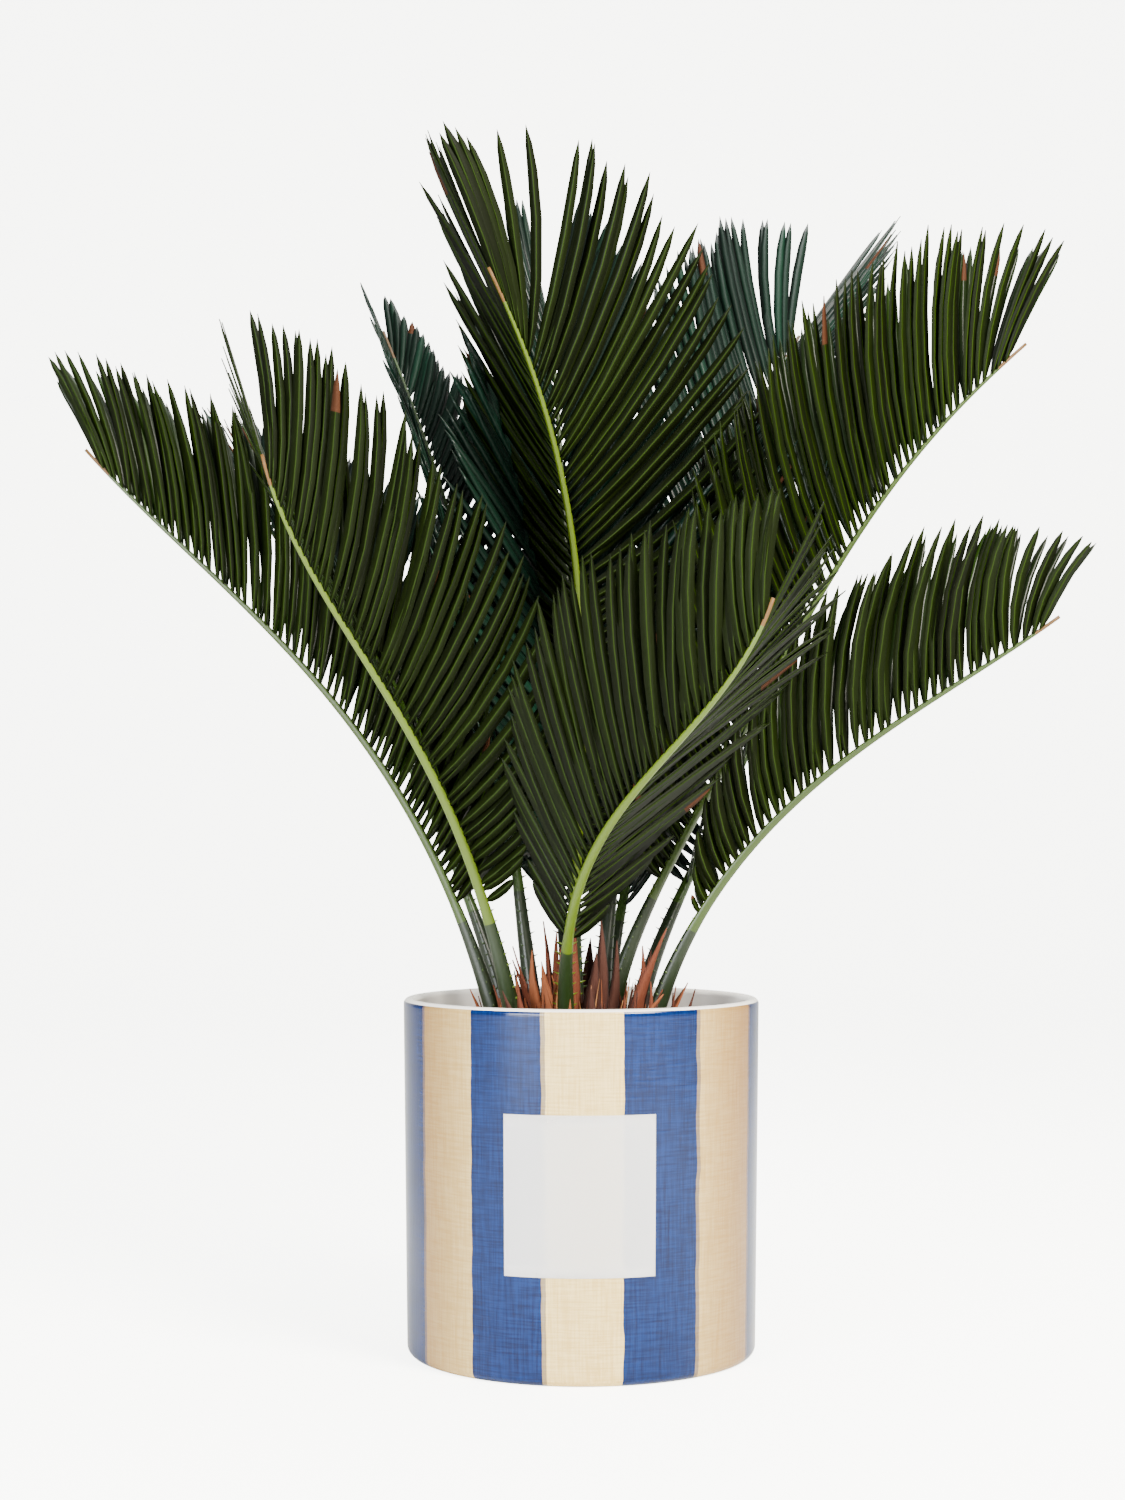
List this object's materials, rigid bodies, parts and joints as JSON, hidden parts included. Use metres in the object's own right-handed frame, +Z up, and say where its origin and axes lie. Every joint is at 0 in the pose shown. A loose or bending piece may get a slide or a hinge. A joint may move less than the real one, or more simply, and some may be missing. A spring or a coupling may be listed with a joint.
{
  "type": "potted cycad",
  "caption": "Young cycad with stiff feather-shaped fronds rising from a short scaly trunk, in a round glazed pot with wide upright stripes and a bare label.",
  "frame": {"origin": "centre of the pot's flat underside, on the pot's axis", "axes": "+Z up along the pot's axis; -Y points to the viewer of the picture and the label is on that side; +X is the viewer's right"},
  "size_m": [0.5905, 0.5471, 0.7111],
  "materials": {
    "glaze": "glossy clear glaze over hand-brushed blue and beige upright stripes",
    "label": "smooth bare white label",
    "soil": "loose dark potting soil with bark chips",
    "bark": "rough brown fibrous leaf bases",
    "scale": "dry red-brown fibrous scale leaves",
    "frond": "stiff waxy dark green leaflets on a yellow-green rib"
  },
  "bodies": {
    "root": {"pot": "glaze", "label": "label", "soil": "soil", "trunk": "bark", "frond_left_front": "frond", "frond_centre_high": "frond", "frond_right_front": "frond", "frond_left_low": "frond", "frond_right_high": "frond", "frond_right_low": "frond", "frond_right_behind": "frond", "frond_centre_behind": "frond", "frond_left_behind": "frond", "frond_right_rear": "frond", "frond_left_rear": "frond", "frond_back_low": "frond", "frond_back_right_low": "frond", "scale_01": "scale", "scale_02": "scale", "scale_03": "scale", "scale_04": "scale", "scale_05": "scale", "scale_06": "scale", "scale_07": "scale", "scale_08": "scale", "scale_09": "scale", "scale_10": "scale", "scale_11": "scale", "scale_12": "scale", "scale_13": "scale", "scale_14": "scale", "scale_15": "scale", "scale_16": "scale", "scale_17": "scale", "scale_18": "scale", "scale_19": "scale", "scale_20": "scale"}
  },
  "joints": []
}
